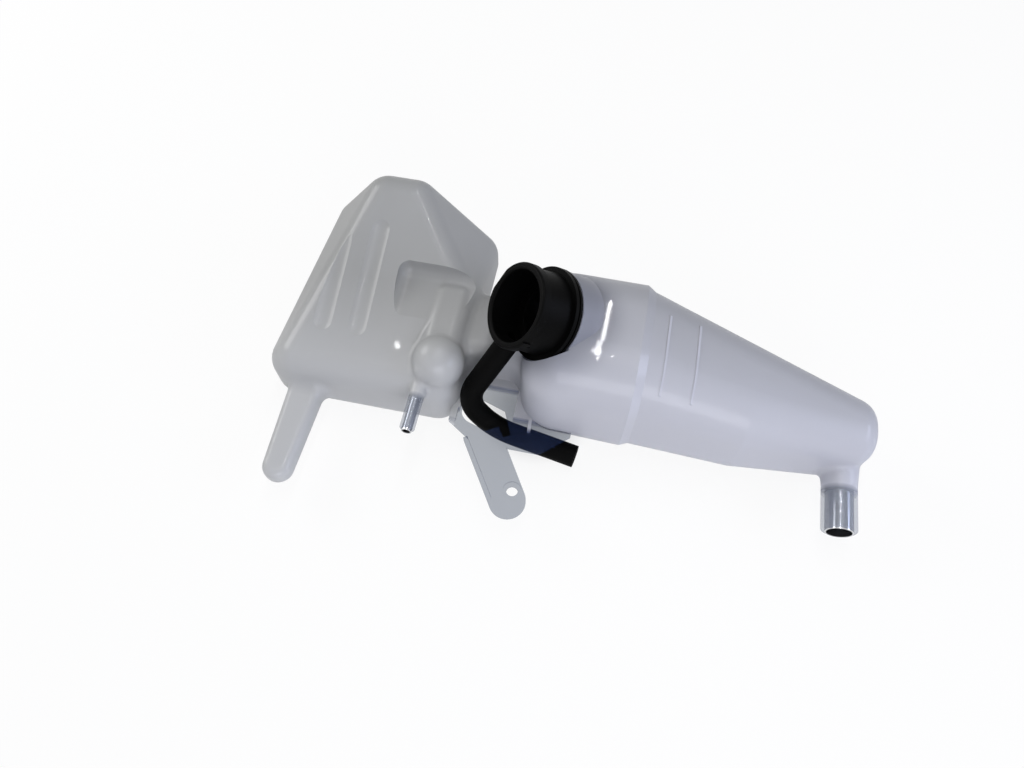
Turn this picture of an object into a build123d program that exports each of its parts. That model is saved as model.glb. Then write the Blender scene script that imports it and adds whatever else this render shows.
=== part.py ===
"""Coolant expansion tank: a blow-moulded translucent tank with a black filler neck and its overflow hose.

Millimetres. The origin is the centre of the tab's bolt hole, in the mould's parting plane, with +Z along the
bolt towards the filler side. The tank lies on its flat back. +X runs along the arm to the outlet, and the
leg, the vent and the outlet all point along -Y.
"""

import os
from math import radians, tan

from build123d import *

# Moulding
wall = 2.6
back_depth = 22.0
step_blend = 5.0
bridge_blend = 6.0
arm_blend = 12.0
leg_blend = 8.0
spigot_blend = 4.0
dome_blend = 4.0
vent_blend = 3.0
tip_round = 1.2
root_overlap = 10.0

# Left chamber: a wedge that rises away from the leg
chamber_near = 42.0
chamber_far = 181.0
chamber_left_near = -169.0
chamber_left_far = -154.0
chamber_right = -44.0
chamber_top_near = 24.0
chamber_top_far = 66.0
chamber_shoulder = 10.0
chamber_bevel_near = 12.0
chamber_bevel_far = 43.0
chamber_ridge_near = 0.0
chamber_ridge_far = -102.0
chamber_round = 16.0

# Shallow stiffening grooves on the left chamber's top
groove_places = (-134.0, -112.0)
groove_radius = 14.0
groove_depth = 0.7
groove_near = 70.0
groove_far = 132.0

# Shelf: the lower near part of the left chamber's top
shelf_left = -95.0
shelf_far = 119.0
shelf_top = 37.0
shelf_round = 7.0

# Step beside the left chamber, with a dome on it
step_left = -72.0
step_right = -46.0
step_near = 47.0
step_far = 117.0
step_depth = 19.0
step_top = 39.0
step_round = 9.0
dome_x = -58.0
dome_y = 62.0
dome_radius = 16.0
dome_rise = 6.0

# Bridge to the right chamber, under the filler neck
bridge_left = -60.0
bridge_right = 24.0
bridge_near = 72.0
bridge_far = 118.0
bridge_depth = 17.0
bridge_top = 31.0
bridge_round = 9.0

# Right chamber and its tapered arm
shoulder_x = -8.0
shoulder_near = 44.0
shoulder_far = 131.0
shoulder_top = 66.0
shoulder_round = 24.0
belt_x = 58.0
belt_run = 5.0
belt_near = 42.0
belt_far = 130.0
belt_top = 67.0
belt_height = 2.4
arm_end_x = 204.0
arm_bend_x = 125.0
arm_bend_near = 43.6
arm_near = 53.0
arm_far = 90.0
arm_top = 30.0
arm_corner = 30.0
arm_end_corner = 18.0
arm_end_round = 14.0

# Level marks: two fine ribs across the arm
mark_places = (72.0, 90.0)
mark_width = 1.2
mark_height = 0.5
mark_near = 52.0
mark_far = 100.0

# Locating leg
leg_x = -141.0
leg_tip_y = -21.6
leg_tip_width = 18.0
leg_root_width = 23.0
leg_thickness = 14.0
leg_round = 5.0

# Web, its hose slot and the bolt tab, all in the parting plane
web_thickness = 3.5
web_overlap = 4.0
web_right = 28.0
web_near = 27.0
web_corner = 17.0
slot_x = -23.6
slot_y = 44.6
slot_length = 37.0
slot_width = 18.6
slot_turn = -18.0
strap_x = -12.0
strap_turn = 24.0
rib_width = 2.0
rib_height = 2.0
rib_top_x = 3.0
rib_bottom_x = 0.6
tab_root_width = 23.0
tab_tip_radius = 11.0
tab_turn = 32.0
tab_length = 42.0
tab_reach = 4.0
tab_side = -4.6
tab_lip = 2.6
tab_lip_height = 2.0
bolt_hole_radius = 3.5
bolt_boss_radius = 5.6
bolt_boss_height = 0.8

# Outlet spigot and its support sleeve
outlet_inset = 14.2
outlet_neck_y = 42.0
outlet_tip_y = 14.5
outlet_radius = 10.2
outlet_root_radius = 12.0
outlet_bore = 8.0
sleeve_wall = 0.9
sleeve_proud = 0.8
sleeve_end_y = 46.0
insert_clearance = 0.02

# Vent nipple and its metal tube
vent_x = -66.6
vent_z = 22.0
vent_tip_y = 17.5
vent_neck_y = 37.0
vent_root_radius = 5.4
vent_radius = 4.6
vent_bore = 3.2
vent_overlap = 5.2
vent_tube_wall = 0.8
vent_tube_proud = 1.2
vent_tube_end_y = 50.0

# Filler neck
neck_seat = (3.6, 87.2, 61.0)
neck_axis = (-0.72, -0.31, 0.62)
nipple_axis = (-0.44, -0.46, -0.77)
neck_length = 26.0
neck_bore = 20.6
neck_root_radius = 24.2
neck_waist_radius = 23.0
rim_radius = 24.8
rim_depth = 5.5
rim_round = 1.4
flange_radius = 27.5
flange_thickness = 4.5
flange_groove = 1.0
plug_radius = 18.5
plug_length = 12.0
throat_bore = 15.0
seat_height = 6.0
notch_width = 13.0
notch_angle = 90.0
lug_width = 5.0
lug_height = 2.0
lug_angle = 62.0
plug_clearance = 0.2
flange_clearance = 0.6
pad_margin = 0.5
pad_depth = 16.0
seal_thickness = 1.5
seal_lip = 0.7
seal_margin = 1.2

# Overflow nipple and hose
nipple_height = 12.8
nipple_radius = 5.0
nipple_bore = 3.2
nipple_length = 17.0
hose_radius = 7.0
hose_start = 24.6
hose_drop = 50.0
hose_under_strap = (-20.5, 43.5, -10.0)
hose_tip = (33.0, 34.0, -10.0)
hose_bend_share = 0.45


def cut_plane(first, second, third):
    """The plane through three points, facing out of the tank."""
    start = Vector(*first)
    return Plane(origin=start, z_dir=(Vector(*second) - start).cross(Vector(*third) - start))


def between(start, end, share):
    """A value part of the way from start to end."""
    return start + (end - start) * share


def chamber_top_at(y):
    """Height of the left chamber's sloping top."""
    share = (y - chamber_near) / (chamber_far - chamber_near)
    return between(chamber_top_near, chamber_top_far, share)


def chamber_form(inset):
    """The left chamber: a block cut by a rising top, a bevel on the left and a slope on the right."""
    near_shoulder = (chamber_left_near + chamber_shoulder, chamber_near, chamber_top_near)
    near_ridge = (chamber_ridge_near, chamber_near, chamber_top_near)
    far_ridge = (chamber_ridge_far, chamber_far, chamber_top_far)
    top_face = cut_plane(near_shoulder, near_ridge, far_ridge)
    bevel_face = cut_plane(
        (chamber_left_near, chamber_near, chamber_top_near - chamber_bevel_near),
        near_shoulder,
        (chamber_left_far, chamber_far, chamber_top_far - chamber_bevel_far),
    )
    slope_face = cut_plane(near_ridge, (chamber_right, chamber_far, 0), far_ridge)
    with BuildPart() as form:
        with BuildSketch(Plane.XY.offset(-back_depth + inset)):
            with BuildLine():
                Polyline(
                    (chamber_left_near, chamber_near),
                    (chamber_left_far, chamber_far),
                    (chamber_right, chamber_far),
                    (chamber_right, chamber_near),
                    close=True,
                )
            make_face()
            if inset:
                offset(amount=-inset, mode=Mode.REPLACE)
        extrude(amount=back_depth + chamber_top_far - inset)
        for face in (top_face, bevel_face, slope_face):
            split(bisect_by=face.offset(-inset), keep=Keep.BOTTOM)
        fillet(form.edges(), chamber_round - inset)
        add(shelf_form(-inset), mode=Mode.SUBTRACT)
    return form.part


def shelf_form(inset):
    """The room above the shelf, as wide and as high as the chamber needs."""
    return block_form(shelf_left, bridge_right, -chamber_near, shelf_far, -shelf_top, 2 * chamber_top_far,
                      shelf_round, inset)


def block_form(left, right, near, far, depth, top, edge_round, inset):
    """A rounded block between two walls, used for the step, the bridge and the room above the shelf."""
    with BuildPart() as form:
        with BuildSketch(Plane.XY.offset(-depth + inset)):
            with Locations(((left + right) / 2, (near + far) / 2)):
                Rectangle(right - left - 2 * inset, far - near - 2 * inset)
        extrude(amount=depth + top - 2 * inset)
        fillet(form.edges(), edge_round - inset)
    return form.part


def step_form(inset):
    """The raised step beside the left chamber."""
    return block_form(step_left, step_right, step_near, step_far, step_depth, step_top, step_round, inset)


def bridge_form(inset):
    """The hollow bridge under the filler neck."""
    return block_form(bridge_left, bridge_right, bridge_near, bridge_far, bridge_depth, bridge_top,
                      bridge_round, inset)


def arm_section(x, near, far, top, corner, inset):
    """One slice across the right chamber and arm, drawn in Y and Z."""
    with BuildSketch(Plane(origin=(x, 0, 0), x_dir=(0, 1, 0), z_dir=(1, 0, 0))) as slice_at:
        with Locations(((near + far) / 2, (top - back_depth) / 2)):
            RectangleRounded(far - near - 2 * inset, top + back_depth - 2 * inset, corner - inset)
    return slice_at.sketch


def arm_slice(x, inset):
    """The arm's slice at x, between the belt and the arm's end."""
    root_x = belt_x + belt_run
    share = (x - root_x) / (arm_end_x - root_x)
    near = between(belt_near + belt_height, arm_bend_near, (x - root_x) / (arm_bend_x - root_x))
    if x > arm_bend_x:
        near = between(arm_bend_near, arm_near, (x - arm_bend_x) / (arm_end_x - arm_bend_x))
    return arm_section(
        x,
        near,
        between(belt_far - belt_height, arm_far, share),
        between(belt_top - belt_height, arm_top, share),
        between(arm_corner, arm_end_corner, share),
        inset,
    )


def arm_form(inset):
    """The right chamber, the belt around it and the arm."""
    shoulder = arm_section(shoulder_x + inset, shoulder_near, shoulder_far, shoulder_top, arm_corner, inset)
    belt = arm_section(belt_x, belt_near, belt_far, belt_top, arm_corner, inset)
    root = arm_slice(belt_x + belt_run, inset)
    bend = arm_slice(arm_bend_x, inset)
    tip = arm_slice(arm_end_x - inset, inset)
    with BuildPart() as form:
        loft(sections=[shoulder, belt, root, bend, tip], ruled=True)
        fillet(form.faces().sort_by(Axis.X)[0].edges(), shoulder_round - inset)
        fillet(form.faces().sort_by(Axis.X)[-1].edges(), arm_end_round - inset)
    return form.part


def tank_form(inset):
    """The chambers, step and bridge blended into one form."""
    chamber = chamber_form(inset)
    step = step_form(inset)
    bridge = bridge_form(inset)
    arm = arm_form(inset)
    with BuildPart() as form:
        add(chamber)
        add(step)
        fillet(new_edges(chamber, step, combined=form.part), step_blend)
        left_side = form.part
        add(bridge)
        fillet(new_edges(left_side, bridge, combined=form.part), bridge_blend)
        linked = form.part
        add(arm)
        fillet(new_edges(linked, arm, combined=form.part), arm_blend)
    return form.part


def leg_form(inset):
    """The tapered locating leg, rounded at its tip."""
    tip_radius = leg_tip_width / 2
    root_y = chamber_near + root_overlap
    tip_centre_y = leg_tip_y + tip_radius
    with BuildPart() as form:
        with BuildSketch(Plane.XY.offset(-leg_thickness / 2 + inset)):
            with BuildLine():
                Polyline(
                    (leg_x - tip_radius, tip_centre_y),
                    (leg_x - leg_root_width / 2, root_y),
                    (leg_x + leg_root_width / 2, root_y),
                    (leg_x + tip_radius, tip_centre_y),
                )
                ThreePointArc(
                    (leg_x + tip_radius, tip_centre_y),
                    (leg_x, leg_tip_y),
                    (leg_x - tip_radius, tip_centre_y),
                )
            make_face()
            if inset:
                offset(amount=-inset, mode=Mode.REPLACE)
        extrude(amount=leg_thickness - 2 * inset)
        fillet(form.faces().sort_by(Axis.Z)[0].edges(), leg_round - inset)
        fillet(form.faces().sort_by(Axis.Z)[-1].edges(), leg_round - inset)
    return form.part


def slot_opening():
    """The hose slot: a rounded slot cut off straight by the strap's edge."""
    with BuildSketch() as opening:
        with Locations(Location((slot_x, slot_y), slot_turn)):
            SlotOverall(slot_length, slot_width)
        with Locations(Location((strap_x, slot_y), strap_turn)):
            Rectangle(slot_length, slot_length, align=(Align.MAX, Align.CENTER), mode=Mode.INTERSECT)
    return opening.sketch


def web_form():
    """The flat web between the chambers, with its hose slot, rib and bolt tab."""
    web_left = chamber_right - web_overlap
    web_far = bridge_near + web_overlap
    face_height = web_thickness / 2
    tab_frame = Plane.XY.rotated((0, 0, tab_turn))
    tip_left = tab_side - tab_tip_radius
    tip_right = tab_side + tab_tip_radius
    root_left = tab_side - tab_root_width / 2
    root_right = tab_side + tab_root_width / 2
    rib_middle = ((rib_top_x + rib_bottom_x) / 2, (bridge_near + web_near) / 2)
    rib_line = Vector(rib_top_x - rib_bottom_x, bridge_near - web_near)
    with BuildPart() as form:
        with BuildSketch(Plane.XY.offset(-face_height)):
            with BuildLine():
                Polyline(
                    (web_left, web_far),
                    (web_left, chamber_near - web_overlap),
                    (web_left + web_corner, web_near),
                    (web_right - web_corner, web_near),
                    (web_right, belt_near),
                    (web_right, web_far),
                    close=True,
                )
            make_face()
            add(slot_opening(), mode=Mode.SUBTRACT)
        extrude(amount=web_thickness)
        with BuildSketch(tab_frame.offset(-face_height)):
            with BuildLine():
                Polyline(
                    (tip_left, -tab_reach),
                    (root_left, tab_length),
                    (root_right, tab_length),
                    (tip_right, -tab_reach),
                )
                ThreePointArc(
                    (tip_right, -tab_reach),
                    (tab_side, -tab_reach - tab_tip_radius),
                    (tip_left, -tab_reach),
                )
            make_face()
        extrude(amount=web_thickness)
        with BuildSketch(tab_frame.offset(face_height)):
            with BuildLine():
                Polyline(
                    (tip_left, 0),
                    (root_left, tab_length),
                    (root_left + tab_lip, tab_length),
                    (tip_left + tab_lip, 0),
                    close=True,
                )
            make_face()
        extrude(amount=tab_lip_height)
        with BuildSketch(Plane.XY.offset(face_height)):
            with Locations(Location(rib_middle, Vector(0, 1, 0).get_signed_angle(rib_line))):
                Rectangle(rib_width, rib_line.length)
            Circle(bolt_boss_radius)
        extrude(amount=rib_height)
        with BuildSketch(Plane.XY.offset(face_height + bolt_boss_height)):
            Circle(bolt_boss_radius)
        extrude(amount=rib_height, mode=Mode.SUBTRACT)
        Hole(bolt_hole_radius)
    return form.part


def spigot(x, z, root_y, neck_y, tip_y, root_radius, tip_radius):
    """A tube stub along -Y, still solid: a flared root, then a straight tube with a rounded tip."""
    with BuildPart() as form:
        with BuildSketch(Plane(origin=(x, 0, z), x_dir=(1, 0, 0), z_dir=(0, 0, 1))):
            with BuildLine():
                Polyline(
                    (0, root_y),
                    (root_radius, root_y),
                    (tip_radius, neck_y),
                    (tip_radius, tip_y),
                    (0, tip_y),
                    close=True,
                )
            make_face()
        revolve(axis=Axis((x, 0, z), (0, 1, 0)))
        fillet(form.faces().sort_by(Axis.Y)[0].edges(), tip_round)
    return form.part


def along_y(x, z, near_y, far_y, radius):
    """A plain cylinder along Y between two places."""
    with BuildPart() as form:
        with BuildSketch(Plane(origin=(x, far_y, z), x_dir=(1, 0, 0), z_dir=(0, -1, 0))):
            Circle(radius)
        extrude(amount=far_y - near_y)
    return form.part


def level_mark(x):
    """A fine rib across the top of the arm at x."""
    with BuildPart() as form:
        loft(sections=[arm_slice(x, -mark_height), arm_slice(x + mark_width, -mark_height)], ruled=True)
        with Locations((x, (mark_near + mark_far) / 2, 0)):
            Box(arm_end_x, mark_far - mark_near, 2 * belt_top,
                align=(Align.CENTER, Align.CENTER, Align.MIN), mode=Mode.INTERSECT)
    return form.part


def groove(x):
    """A long shallow hollow that follows the left chamber's top."""
    lift = groove_radius - groove_depth
    near_point = Vector(x, groove_near, chamber_top_at(groove_near) + lift)
    far_point = Vector(x, groove_far, chamber_top_at(groove_far) + lift)
    with BuildPart() as form:
        with BuildSketch(Plane(origin=near_point, z_dir=far_point - near_point)):
            Circle(groove_radius)
        extrude(amount=(far_point - near_point).length)
        with Locations(near_point, far_point):
            Sphere(groove_radius)
    return form.part


def seat_pocket(inset):
    """The room for the neck's flange above the pad, grown by inset."""
    with BuildPart() as form:
        with BuildSketch(neck_plane.offset(-seal_thickness - inset)):
            Circle(flange_radius + flange_clearance + inset)
        extrude(amount=neck_length)
    return form.part


neck_plane = Plane(origin=neck_seat, x_dir=nipple_axis, z_dir=neck_axis)
neck_profile_plane = Plane(origin=neck_plane.origin, x_dir=neck_plane.x_dir, z_dir=-neck_plane.y_dir)
neck_line = Axis(neck_plane.origin, neck_plane.z_dir)
nipple_plane = Plane(origin=neck_plane.from_local_coords((0, 0, nipple_height)), z_dir=neck_plane.x_dir)
nipple_root = (neck_bore + neck_waist_radius) / 2
outlet_x = arm_end_x - outlet_inset
dome_centre = (dome_x, dome_y, step_top + dome_rise - dome_radius)

os.makedirs("parts", exist_ok=True)

# Tank: the outer form with its leg, spigots, web and pad, hollowed by the inner form
with BuildPart() as tank_body:
    add(tank_form(0))
    bare = tank_body.part
    leg = leg_form(0)
    add(leg)
    fillet(new_edges(bare, leg, combined=tank_body.part), leg_blend)
    legged = tank_body.part
    outlet = spigot(outlet_x, 0, arm_near + root_overlap, outlet_neck_y, outlet_tip_y,
                    outlet_root_radius, outlet_radius)
    add(outlet)
    fillet(new_edges(legged, outlet, combined=tank_body.part), spigot_blend)
    plumbed = tank_body.part
    dome = Sphere(dome_radius, mode=Mode.PRIVATE).moved(Location(dome_centre))
    add(dome)
    fillet(new_edges(plumbed, dome, combined=tank_body.part), dome_blend)
    domed = tank_body.part
    vent = spigot(vent_x, vent_z, step_near + vent_overlap, vent_neck_y, vent_tip_y,
                  vent_root_radius, vent_radius)
    add(vent)
    fillet(new_edges(domed, vent, combined=tank_body.part), vent_blend)
    for place in mark_places:
        add(level_mark(place))
    with BuildSketch(neck_plane.offset(-seal_thickness)):
        Circle(flange_radius - pad_margin)
    extrude(amount=-pad_depth)
    add(web_form())
    for place in groove_places:
        add(groove(place), mode=Mode.SUBTRACT)
    add(seat_pocket(0), mode=Mode.SUBTRACT)
    add(tank_form(wall) - seat_pocket(wall), mode=Mode.SUBTRACT)
    add(leg_form(wall), mode=Mode.SUBTRACT)
    with Locations(dome_centre):
        Sphere(dome_radius - wall, mode=Mode.SUBTRACT)
    add(along_y(outlet_x, 0, outlet_tip_y, arm_near + root_overlap, outlet_bore), mode=Mode.SUBTRACT)
    add(along_y(vent_x, vent_z, vent_tip_y, step_near + root_overlap, vent_bore), mode=Mode.SUBTRACT)
    with BuildSketch(neck_plane):
        Circle(plug_radius + plug_clearance)
    extrude(amount=-pad_depth - plug_length, mode=Mode.SUBTRACT)

tank_body.part.label = "tank_body"
export_step(tank_body.part, "parts/tank_body.step")

# Support sleeve in the outlet and metal tube in the vent
with BuildPart() as outlet_sleeve:
    add(along_y(outlet_x, 0, outlet_tip_y - sleeve_proud, sleeve_end_y, outlet_bore - insert_clearance))
    add(along_y(outlet_x, 0, outlet_tip_y - sleeve_proud, sleeve_end_y, outlet_bore - sleeve_wall),
        mode=Mode.SUBTRACT)

outlet_sleeve.part.label = "outlet_sleeve"
export_step(outlet_sleeve.part, "parts/outlet_sleeve.step")

with BuildPart() as vent_tube:
    add(along_y(vent_x, vent_z, vent_tip_y - vent_tube_proud, vent_tube_end_y, vent_bore - insert_clearance))
    add(along_y(vent_x, vent_z, vent_tip_y - vent_tube_proud, vent_tube_end_y, vent_bore - vent_tube_wall),
        mode=Mode.SUBTRACT)

vent_tube.part.label = "vent_tube"
export_step(vent_tube.part, "parts/vent_tube.step")

# Filler neck: a turned form with a bayonet rim and a side nipple
with BuildPart() as filler_neck:
    with BuildSketch(neck_profile_plane):
        with BuildLine():
            Polyline(
                (throat_bore, -plug_length),
                (plug_radius, -plug_length),
                (plug_radius, 0),
                (flange_radius, 0),
                (flange_radius, flange_thickness / 2 - flange_groove),
                (flange_radius - flange_groove, flange_thickness / 2 - flange_groove),
                (flange_radius - flange_groove, flange_thickness / 2),
                (flange_radius, flange_thickness / 2),
                (flange_radius, flange_thickness),
                (neck_root_radius, flange_thickness),
                (neck_waist_radius, neck_length - rim_depth),
                (rim_radius, neck_length - rim_depth),
                (rim_radius, neck_length),
                (neck_bore, neck_length),
                (neck_bore, seat_height),
                (throat_bore, seat_height),
                close=True,
            )
        make_face()
    revolve(axis=neck_line)
    fillet(filler_neck.edges().sort_by(neck_line)[-2:], rim_round)
    with BuildSketch(neck_plane.offset(neck_length - rim_depth)):
        with PolarLocations(rim_radius, 2, start_angle=notch_angle):
            Rectangle(2 * (rim_radius - neck_waist_radius), notch_width)
    extrude(amount=rim_depth, mode=Mode.SUBTRACT)
    with BuildSketch(neck_plane.offset(neck_length - rim_depth - lug_height)):
        with PolarLocations(neck_waist_radius, 2, start_angle=lug_angle):
            Rectangle(2 * (rim_radius - neck_waist_radius), lug_width)
    extrude(amount=lug_height)
    with BuildSketch(nipple_plane.offset(nipple_root)):
        Circle(nipple_radius)
    extrude(amount=hose_start + nipple_length - nipple_root)
    with BuildSketch(nipple_plane):
        Circle(nipple_bore)
    extrude(amount=hose_start + nipple_length, mode=Mode.SUBTRACT)

filler_neck.part.label = "filler_neck"
export_step(filler_neck.part, "parts/filler_neck.step")

# Seal between the neck's flange and the tank's pad
with BuildPart() as neck_seal:
    with BuildSketch(neck_plane):
        Circle(flange_radius - seal_margin)
        Circle(plug_radius + seal_lip, mode=Mode.SUBTRACT)
    extrude(amount=-seal_thickness)

neck_seal.part.label = "neck_seal"
export_step(neck_seal.part, "parts/neck_seal.step")

# Overflow hose: straight runs joined by tangent arcs, from the nipple through the slot and under the strap
hose_from = nipple_plane.from_local_coords((0, 0, hose_start))
hose_corner = nipple_plane.from_local_coords((0, 0, hose_start + hose_drop))
hose_route = [Vector(hose_from), Vector(hose_corner), Vector(*hose_under_strap), Vector(*hose_tip)]


def bend_radius(before, corner, after):
    """The largest arc that two runs leave room for."""
    turn = (corner - before).get_angle(after - corner)
    shorter = min((corner - before).length, (after - corner).length)
    return hose_bend_share * shorter / tan(radians(turn / 2))


hose_bends = [bend_radius(*hose_route[place:place + 3]) for place in range(len(hose_route) - 2)]
print("hose bend radii", [round(radius, 1) for radius in hose_bends])

with BuildPart() as overflow_hose:
    with BuildLine() as hose_path:
        FilletPolyline(*hose_route, radius=hose_bends)
    with BuildSketch(Plane(origin=hose_from, z_dir=neck_plane.x_dir)):
        Circle(hose_radius)
        Circle(nipple_radius + insert_clearance, mode=Mode.SUBTRACT)
    sweep()

overflow_hose.part.label = "overflow_hose"
export_step(overflow_hose.part, "parts/overflow_hose.step")
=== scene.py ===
import math

import bpy
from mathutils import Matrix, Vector


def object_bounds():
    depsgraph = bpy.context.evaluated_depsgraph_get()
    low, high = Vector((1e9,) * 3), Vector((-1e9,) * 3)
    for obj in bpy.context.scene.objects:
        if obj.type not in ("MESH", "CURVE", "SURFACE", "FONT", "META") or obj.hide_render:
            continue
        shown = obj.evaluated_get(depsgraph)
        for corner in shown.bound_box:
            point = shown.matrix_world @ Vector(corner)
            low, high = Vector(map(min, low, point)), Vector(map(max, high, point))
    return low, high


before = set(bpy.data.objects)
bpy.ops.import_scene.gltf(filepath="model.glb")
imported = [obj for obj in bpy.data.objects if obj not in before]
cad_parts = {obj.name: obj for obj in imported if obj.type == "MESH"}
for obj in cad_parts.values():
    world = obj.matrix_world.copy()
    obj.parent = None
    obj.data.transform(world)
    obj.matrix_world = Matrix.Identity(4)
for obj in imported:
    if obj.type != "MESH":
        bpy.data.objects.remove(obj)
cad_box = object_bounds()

# The looks of the coolant expansion tank: milky see-through plastic, a black filler neck, a rubber hose and
# two metal tubes. Every shape comes from the CAD frame, in metres.

MM = 0.001

# Where the plastic turns clear, in the part's frame: each pair runs from milky to clear
NEAR_WALL_Y = (41 * MM, 37 * MM)
LEG_SIDE_X = (-82 * MM, -78 * MM)
STRAP_Y = (48 * MM, 45 * MM)
STRAP_MIDDLE_X = -8 * MM
STRAP_HALF = 36 * MM
SLOT_Y = (67 * MM, 64 * MM)
SLOT_MIDDLE_X = -26 * MM
SLOT_HALF = 17 * MM
WEB_SKIN = (2.6 * MM, 2.2 * MM)

# Painted light and shade in its colour: each pair runs from none to full,
# the plug shade's reach from the neck's seat
PAINTED_GLOW_Y = (105 * MM, 45 * MM)
WARM_SHADE_X = (0.0, -40 * MM)
NECK_SEAT = (3.6 * MM, 87.2 * MM, 61.0 * MM)
PLUG_SHADE_REACH = (48 * MM, 24 * MM)

# The two raised level marks across the arm, with a painted highlight that makes them paler
LEVEL_MARKS_X = (72.6 * MM, 90.6 * MM)
MARK_HALF_WIDTH = 0.6 * MM
MARK_MIDDLE_Y = 76 * MM
MARK_HALF_LENGTH = 24 * MM

# The mould's parting line, from none to full, as distances from z = 0
PARTING_LINE = (0.6 * MM, 0.2 * MM)

# Heights of the orange peel and of the parting line, beside the wavy wall's 1
PEEL_HEIGHT = 0.02
SEAM_HEIGHT = 0.6

# Shares of light: through the milk from behind, and through the clear spigots and the clear web
GLOW_SHARE = 0.4
CLEAR_SHARE = (0.74, 0.91)

# Sizes of the patterns on the surfaces, in millimetres. The drawn lines are stretched along the tubes, in Y
CLOUD_MM = 60
WAVE_MM = 45
PEEL_MM = 2.5
DRAWN_LINE_MM = 0.7
DRAWN_STRETCH = (1.0, 0.04, 1.0)

# The studio: the floor's white is partly held back under the hose slot, and rises to full white far away
FLOOR_HALF = 4.0
FLOOR_GAP = 0.1 * MM
SLOT_FLOOR = (2 * MM, 68 * MM, cad_box[0].z)
SLOT_SHADE_REACH = (15 * MM, 40 * MM)
FLOOR_WHITE = (0.5, 0.9)
HORIZON_REACH = (0.3, 0.8)
ROOM_LIGHT = 0.18
ROOM_REFLECTION = 0.6
TANK_MIDDLE = (0.03, 0.08, 0.02)
LEFT_CHAMBER_FACE = (-0.085, 0.067, 0.03)
UNDER_TUBE = (0.010, 0.29, 0.02)


# Colours and nodes

def linear(hex_colour):
    """An sRGB hex colour as linear RGBA: c / 12.92 up to 0.04045, else ((c + 0.055) / 1.055) to the
    power 2.4."""
    values = [int(hex_colour[i:i + 2], 16) / 255 for i in (1, 3, 5)]
    return [v / 12.92 if v <= 0.04045 else ((v + 0.055) / 1.055) ** 2.4 for v in values] + [1.0]


def node(tree, kind, inputs=None, **settings):
    """Adds one node with its settings. Each input is either a socket to link or a constant."""
    made = tree.nodes.new(kind)
    for name, value in settings.items():
        setattr(made, name, value)
    for name, value in (inputs or {}).items():
        if isinstance(value, bpy.types.NodeSocket):
            tree.links.new(value, made.inputs[name])
        else:
            made.inputs[name].default_value = value
    return made


def new_tree(name):
    """An empty node material and its tree."""
    material = bpy.data.materials.new(name)
    material.use_nodes = True
    material.node_tree.nodes.clear()
    return material, material.node_tree


def per_metre(size_mm):
    """A noise scale whose features are about size_mm across."""
    return 1 / (size_mm * MM)


# Milky plastic

def clear_places(tree, axes, level):
    """Two masks: all the clear plastic, and the width of web that the strap takes up. Clear are what stands
    out past the tank's near wall, apart from the leg, and the thin web beside the hose and under the
    strap."""
    past_wall = node(tree, "ShaderNodeMapRange", {
        "Value": axes["Y"], "From Min": NEAR_WALL_Y[0], "From Max": NEAR_WALL_Y[1],
    }).outputs["Result"]
    past_leg = node(tree, "ShaderNodeMapRange", {
        "Value": axes["X"], "From Min": LEG_SIDE_X[0], "From Max": LEG_SIDE_X[1],
    }).outputs["Result"]
    out = node(tree, "ShaderNodeMath", {0: past_wall, 1: past_leg}, operation="MULTIPLY").outputs[0]
    strap_y = node(tree, "ShaderNodeMapRange", {
        "Value": axes["Y"], "From Min": STRAP_Y[0], "From Max": STRAP_Y[1],
    }).outputs["Result"]
    strap_x = node(tree, "ShaderNodeMath", {0: axes["X"], 1: STRAP_MIDDLE_X, 2: STRAP_HALF},
                   operation="COMPARE").outputs[0]
    strap = node(tree, "ShaderNodeMath", {0: strap_y, 1: strap_x}, operation="MULTIPLY").outputs[0]
    slot_y = node(tree, "ShaderNodeMapRange", {
        "Value": axes["Y"], "From Min": SLOT_Y[0], "From Max": SLOT_Y[1],
    }).outputs["Result"]
    slot_x = node(tree, "ShaderNodeMath", {0: axes["X"], 1: SLOT_MIDDLE_X, 2: SLOT_HALF},
                  operation="COMPARE").outputs[0]
    slot = node(tree, "ShaderNodeMath", {0: slot_y, 1: slot_x}, operation="MULTIPLY").outputs[0]
    reach = node(tree, "ShaderNodeMath", {0: strap, 1: slot}, operation="MAXIMUM").outputs[0]
    in_web = node(tree, "ShaderNodeMapRange", {
        "Value": level, "From Min": WEB_SKIN[0], "From Max": WEB_SKIN[1],
    }).outputs["Result"]
    web = node(tree, "ShaderNodeMath", {0: in_web, 1: reach}, operation="MULTIPLY").outputs[0]
    thin = node(tree, "ShaderNodeMath", {0: out, 1: web}, operation="MAXIMUM").outputs[0]
    return thin, strap_x


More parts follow.
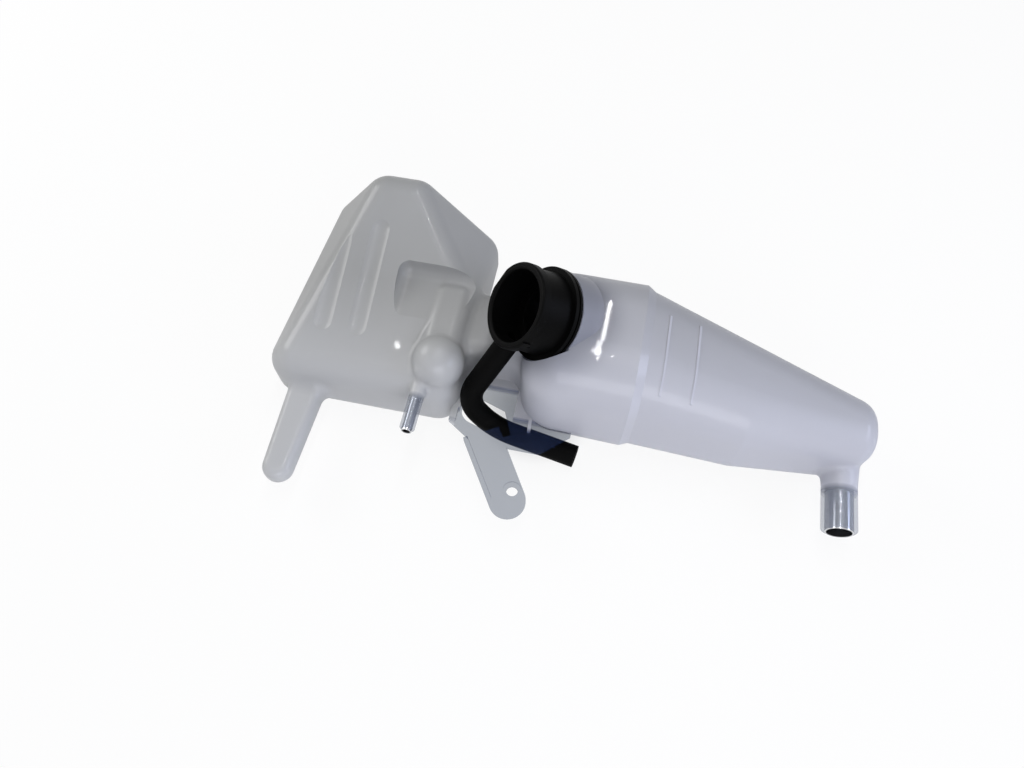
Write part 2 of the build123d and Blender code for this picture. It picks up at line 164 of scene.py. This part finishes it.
def milk_colour(tree, place, axes, cloud):
    """A cool milk with slow clouds. Painted light makes it paler towards the near side, as the floor's light
    through the thinner wall there, and painted shade makes it warmer and a little darker on the left chamber
    and the web, where less of the blue light falls. Painted shade darkens it round the neck's seat, for the
    neck's shadow and the black plug seen through the wall, and a painted highlight makes the level marks
    paler."""
    milk = node(tree, "ShaderNodeMix", {"Factor": cloud, "A": linear("#C3C4C8"), "B": linear("#D0D1D7")},
                data_type="RGBA").outputs["Result"]
    # Painted light: paler towards the near side, as the floor's light coming through the thinner wall
    near = node(tree, "ShaderNodeMapRange", {
        "Value": axes["Y"], "From Min": PAINTED_GLOW_Y[0], "From Max": PAINTED_GLOW_Y[1],
    }).outputs["Result"]
    milk = node(tree, "ShaderNodeMix", {"Factor": near, "A": milk, "B": linear("#E5E6ED")},
                data_type="RGBA").outputs["Result"]
    # Painted shade: warmer and a little darker on the left chamber and the web, where less of the blue light
    # falls
    left = node(tree, "ShaderNodeMapRange", {
        "Value": axes["X"], "From Min": WARM_SHADE_X[0], "From Max": WARM_SHADE_X[1],
    }).outputs["Result"]
    milk = node(tree, "ShaderNodeMix", {"Factor": left, "A": milk, "B": linear("#F4F4EE")},
                data_type="RGBA", blend_type="MULTIPLY").outputs["Result"]
    # Painted shade round the neck's seat: the neck's shadow and the black plug seen through the milky wall
    from_neck = node(tree, "ShaderNodeVectorMath", {0: place, 1: NECK_SEAT},
                     operation="DISTANCE").outputs["Value"]
    plug_shade = node(tree, "ShaderNodeMapRange", {
        "Value": from_neck, "From Min": PLUG_SHADE_REACH[0], "From Max": PLUG_SHADE_REACH[1],
    }, interpolation_type="SMOOTHSTEP").outputs["Result"]
    milk = node(tree, "ShaderNodeMix", {"Factor": plug_shade, "A": milk, "B": linear("#C0C2CA")},
                data_type="RGBA", blend_type="MULTIPLY").outputs["Result"]
    # Painted highlight: the raised level marks are paler, as the light that their ribs catch
    on_arm = node(tree, "ShaderNodeMath", {0: axes["Y"], 1: MARK_MIDDLE_Y, 2: MARK_HALF_LENGTH},
                  operation="COMPARE").outputs[0]
    on_top = node(tree, "ShaderNodeMath", {0: axes["Z"], 1: 0.0}, operation="GREATER_THAN").outputs[0]
    on_arm = node(tree, "ShaderNodeMath", {0: on_arm, 1: on_top}, operation="MULTIPLY").outputs[0]
    for mark_x in LEVEL_MARKS_X:
        mark = node(tree, "ShaderNodeMath", {0: axes["X"], 1: mark_x, 2: MARK_HALF_WIDTH},
                    operation="COMPARE").outputs[0]
        mark = node(tree, "ShaderNodeMath", {0: mark, 1: on_arm}, operation="MULTIPLY").outputs[0]
        milk = node(tree, "ShaderNodeMix", {"Factor": mark, "A": milk, "B": linear("#E2E3EC")},
                    data_type="RGBA").outputs["Result"]
    return milk


def moulded_bump(tree, place, level):
    """A wavy wall, fine orange peel and the mould's parting line at z = 0, added up as one height."""
    wave = node(tree, "ShaderNodeTexNoise", {"Vector": place, "Scale": per_metre(WAVE_MM), "Detail": 1.0})
    peel = node(tree, "ShaderNodeTexNoise", {"Vector": place, "Scale": per_metre(PEEL_MM), "Detail": 1.0})
    height = node(tree, "ShaderNodeMath", {0: peel.outputs["Fac"], 1: PEEL_HEIGHT, 2: wave.outputs["Fac"]},
                  operation="MULTIPLY_ADD").outputs[0]
    seam = node(tree, "ShaderNodeMapRange", {
        "Value": level, "From Min": PARTING_LINE[0], "From Max": PARTING_LINE[1], "To Max": SEAM_HEIGHT,
    }).outputs["Result"]
    height = node(tree, "ShaderNodeMath", {0: height, 1: seam}, operation="ADD").outputs[0]
    return node(tree, "ShaderNodeBump",
                {"Height": height, "Strength": 0.05, "Distance": 1.0 * MM}).outputs["Normal"]


def natural_polypropylene():
    """Natural polypropylene, blow-moulded: milky, with a satin skin, a slightly wavy wall and a fine parting
    line. The thin web and the spigots are clearer, so the hose and the metal tubes show through a bluish haze
    there, and over the middle web the milk is painted dark blue as shade from the hose seen through it."""
    material, tree = new_tree("natural_polypropylene")
    place = node(tree, "ShaderNodeTexCoord").outputs["Object"]
    axes = node(tree, "ShaderNodeSeparateXYZ", {"Vector": place}).outputs
    level = node(tree, "ShaderNodeMath", {0: axes["Z"]}, operation="ABSOLUTE").outputs[0]
    cloud = node(tree, "ShaderNodeTexNoise",
                 {"Vector": place, "Scale": per_metre(CLOUD_MM), "Detail": 2.0}).outputs["Fac"]
    thin, strap_x = clear_places(tree, axes, level)
    milk = milk_colour(tree, place, axes, cloud)
    # Painted shade: the middle web's milk is dark blue, for the dark hose seen through it; other clear parts
    # keep a pale blue tint
    haze_and_hose_shade = node(tree, "ShaderNodeMix", {"Factor": strap_x, "A": linear("#BCC1CB"), "B": linear("#5A74B4")},
                data_type="RGBA").outputs["Result"]
    tint = node(tree, "ShaderNodeMix", {"Factor": thin, "A": milk, "B": haze_and_hose_shade},
                data_type="RGBA").outputs["Result"]
    bump = moulded_bump(tree, place, level)
    skin = node(tree, "ShaderNodeMapRange",
                {"Value": cloud, "To Min": 0.34, "To Max": 0.46}).outputs["Result"]

    # A satin surface with a thin glossy skin, part of its light coming through from behind
    surface = node(tree, "ShaderNodeBsdfPrincipled", {
        "Base Color": tint, "Roughness": skin, "IOR": 1.49, "Normal": bump,
        "Coat Weight": 0.35, "Coat Roughness": 0.03, "Coat Normal": bump,
    }).outputs["BSDF"]
    glow = node(tree, "ShaderNodeBsdfTranslucent", {"Color": tint, "Normal": bump}).outputs["BSDF"]
    milky = node(tree, "ShaderNodeMixShader", {0: GLOW_SHARE, 1: surface, 2: glow}).outputs[0]

    # The clear share of the spigots, and the larger one of the web
    share = node(tree, "ShaderNodeMapRange",
                 {"Value": strap_x, "To Min": CLEAR_SHARE[0], "To Max": CLEAR_SHARE[1]}).outputs["Result"]
    clear = node(tree, "ShaderNodeMath", {0: thin, 1: share}, operation="MULTIPLY").outputs[0]
    passed = node(tree, "ShaderNodeMix", {"Factor": strap_x, "A": linear("#F2F3F5"), "B": linear("#DADCDE")},
                  data_type="RGBA").outputs["Result"]
    through = node(tree, "ShaderNodeBsdfTransparent", {"Color": passed}).outputs["BSDF"]
    wall = node(tree, "ShaderNodeMixShader", {0: clear, 1: milky, 2: through}).outputs[0]
    node(tree, "ShaderNodeOutputMaterial", {"Surface": wall})
    return material


# Black mouldings and metal

def dark_moulding(name, low, high, grain_mm, rough, depth_mm):
    """A near-black moulding whose grain breaks up its sheen: colour, gloss and bump follow one noise. The
    grain is drawn coarser than the real one, so that it shows."""
    material, tree = new_tree(name)
    place = node(tree, "ShaderNodeTexCoord").outputs["Object"]
    grain = node(tree, "ShaderNodeTexNoise",
                 {"Vector": place, "Scale": per_metre(grain_mm), "Detail": 3.0}).outputs["Fac"]
    tint = node(tree, "ShaderNodeMix", {"Factor": grain, "A": linear(low), "B": linear(high)},
                data_type="RGBA").outputs["Result"]
    skin = node(tree, "ShaderNodeMapRange",
                {"Value": grain, "To Min": rough[0], "To Max": rough[1]}).outputs["Result"]
    bump = node(tree, "ShaderNodeBump",
                {"Height": grain, "Strength": 0.2, "Distance": depth_mm * MM}).outputs["Normal"]
    shader = node(tree, "ShaderNodeBsdfPrincipled",
                  {"Base Color": tint, "Roughness": skin, "Normal": bump, "Specular IOR Level": 0.05})
    node(tree, "ShaderNodeOutputMaterial", {"Surface": shader.outputs["BSDF"]})
    return material


def drawn_steel():
    """Plated steel tube, drawn: bright, with lines along the tube. They are drawn coarser than the real ones,
    so that they show."""
    material, tree = new_tree("drawn_steel")
    place = node(tree, "ShaderNodeTexCoord").outputs["Object"]
    along = node(tree, "ShaderNodeMapping", {"Vector": place, "Scale": DRAWN_STRETCH}).outputs["Vector"]
    lines = node(tree, "ShaderNodeTexNoise",
                 {"Vector": along, "Scale": per_metre(DRAWN_LINE_MM), "Detail": 3.0}).outputs["Fac"]
    tint = node(tree, "ShaderNodeMix", {"Factor": lines, "A": linear("#B8BABD"), "B": linear("#DCDDE0")},
                data_type="RGBA").outputs["Result"]
    skin = node(tree, "ShaderNodeMapRange",
                {"Value": lines, "To Min": 0.12, "To Max": 0.24}).outputs["Result"]
    shader = node(tree, "ShaderNodeBsdfPrincipled", {"Base Color": tint, "Roughness": skin, "Metallic": 1.0})
    node(tree, "ShaderNodeOutputMaterial", {"Surface": shader.outputs["BSDF"]})
    return material


def dress(names, material):
    """Gives CAD nodes their finished material."""
    for name in names:
        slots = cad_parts[name].data.materials
        slots.clear()
        slots.append(material)


# Moulded polyamide is matt with a fine sheen, and extruded rubber is duller, with broad soft patches
black_polyamide = dark_moulding("black_polyamide", low="#020202", high="#070707",
                                grain_mm=0.8, rough=(0.40, 0.55), depth_mm=0.1)
extruded_rubber = dark_moulding("extruded_rubber", low="#020202", high="#080808",
                                grain_mm=5, rough=(0.55, 0.7), depth_mm=0.15)
dress(["tank_body"], natural_polypropylene())
dress(["filler_neck"], black_polyamide)
dress(["overflow_hose", "neck_seal"], extruded_rubber)
dress(["outlet_sleeve", "vent_tube"], drawn_steel())


# Studio: white floor, white world for the camera, soft lamps

def white_paper():
    """White paper: most of its white is its own, so that it stays white and still takes the shadow. Under the
    web, where it is seen through the hose slot, more of it is left to the shadow."""
    material, tree = new_tree("white_paper_floor")
    path = node(tree, "ShaderNodeLightPath").outputs
    seen = node(tree, "ShaderNodeMath", {0: path["Is Camera Ray"], 1: path["Is Glossy Ray"]},
                operation="MAXIMUM").outputs[0]
    seen = node(tree, "ShaderNodeMath", {0: seen, 1: path["Is Transmission Ray"]},
                operation="MAXIMUM").outputs[0]
    place = node(tree, "ShaderNodeTexCoord").outputs["Object"]
    from_slot = node(tree, "ShaderNodeVectorMath", {0: place, 1: SLOT_FLOOR},
                     operation="DISTANCE").outputs["Value"]
    own = node(tree, "ShaderNodeMapRange", {
        "Value": from_slot, "From Min": SLOT_SHADE_REACH[0], "From Max": SLOT_SHADE_REACH[1],
        "To Min": FLOOR_WHITE[0], "To Max": FLOOR_WHITE[1],
    }).outputs["Result"]
    far = node(tree, "ShaderNodeMapRange", {
        "Value": from_slot, "From Min": HORIZON_REACH[0], "From Max": HORIZON_REACH[1],
    }).outputs["Result"]
    own = node(tree, "ShaderNodeMath", {0: own, 1: far}, operation="MAXIMUM").outputs[0]
    share = node(tree, "ShaderNodeMath", {0: seen, 1: own}, operation="MULTIPLY").outputs[0]
    paper = node(tree, "ShaderNodeBsdfDiffuse", {"Color": linear("#F4F4F4")}).outputs[0]
    white = node(tree, "ShaderNodeEmission", {"Strength": 1.0}).outputs[0]
    mixed = node(tree, "ShaderNodeMixShader", {0: share, 1: paper, 2: white}).outputs[0]
    node(tree, "ShaderNodeOutputMaterial", {"Surface": mixed})
    return material


def studio_floor():
    """One flat square just under the tank's back."""
    half = FLOOR_HALF
    z = cad_box[0].z - FLOOR_GAP
    corners = [(-half, -half, z), (half, -half, z), (half, half, z), (-half, half, z)]
    mesh = bpy.data.meshes.new("studio_floor")
    mesh.from_pydata(corners, [], [(0, 1, 2, 3)])
    mesh.materials.append(white_paper())
    floor = bpy.data.objects.new("studio_floor", mesh)
    bpy.context.scene.collection.objects.link(floor)


def studio_world():
    """White to the camera, a light grey in reflections and a dim grey to everything it lights."""
    world = bpy.data.worlds.new("studio_world")
    bpy.context.scene.world = world
    world.use_nodes = True
    tree = world.node_tree
    tree.nodes.clear()
    path = node(tree, "ShaderNodeLightPath").outputs
    level = node(tree, "ShaderNodeMapRange", {
        "Value": path["Is Glossy Ray"], "To Min": ROOM_LIGHT, "To Max": ROOM_REFLECTION,
    }).outputs["Result"]
    level = node(tree, "ShaderNodeMath", {0: level, 1: path["Is Camera Ray"]}, operation="MAXIMUM").outputs[0]
    back = node(tree, "ShaderNodeBackground", {"Strength": level, "Color": linear("#FFFFFF")}).outputs[0]
    node(tree, "ShaderNodeOutputWorld", {"Surface": back})


def softbox(name, place, target, size, power, colour="#FFFFFF", turn=0.0):
    """A rectangular lamp at place, facing target, turned by so many degrees about the line between them."""
    data = bpy.data.lights.new(name, "AREA")
    data.shape = "RECTANGLE"
    data.size, data.size_y = size
    data.energy = power
    data.color = linear(colour)[:3]
    lamp = bpy.data.objects.new(name, data)
    lamp.location = place
    lamp.rotation_euler = (Vector(target) - Vector(place)).to_track_quat("-Z", "Y").to_euler()
    lamp.rotation_euler.rotate_axis("Z", math.radians(turn))
    bpy.context.scene.collection.objects.link(lamp)


studio_floor()
studio_world()
softbox("window_left", (-1.00, 0.40, 0.60), TANK_MIDDLE, (0.6, 0.5), power=5.2)
softbox("window_right", (1.15, 0.05, 0.58), TANK_MIDDLE, (0.9, 0.35), power=6.0, colour="#DCE4FF")
softbox("room_front", (0.30, -1.05, 0.55), TANK_MIDDLE, (1.0, 0.6), power=8.0, colour="#F6F7FF")
softbox("ceiling_panel", (0.03, 0.25, 1.3), TANK_MIDDLE, (1.0, 1.0), power=2.0)

# Two small lamps that show as a glint on the left chamber and as a streak on the right one
softbox("ceiling_spot", (-0.337, -0.011, 1.0), LEFT_CHAMBER_FACE, (0.014, 0.009), power=0.03)
softbox("ceiling_tube", (0.010, 0.29, 1.0), UNDER_TUBE, (0.008, 0.94), power=2.4, turn=-2.0)

# Camera: a wide lens, found from where the lines of the leg, the vent and the outlet meet

camera_data = bpy.data.cameras.new("photo_camera")
camera_data.sensor_width = 36.0
camera_data.lens = 26.37
camera_data.clip_start = 0.01
camera = bpy.data.objects.new("photo_camera", camera_data)
camera.location = (0.0308, -0.1498, 0.4220)
camera.rotation_euler = (math.radians(28.111), 0.0, math.radians(11.609))
bpy.context.scene.collection.objects.link(camera)
bpy.context.scene.camera = camera
bpy.context.scene.view_settings.view_transform = "Standard"
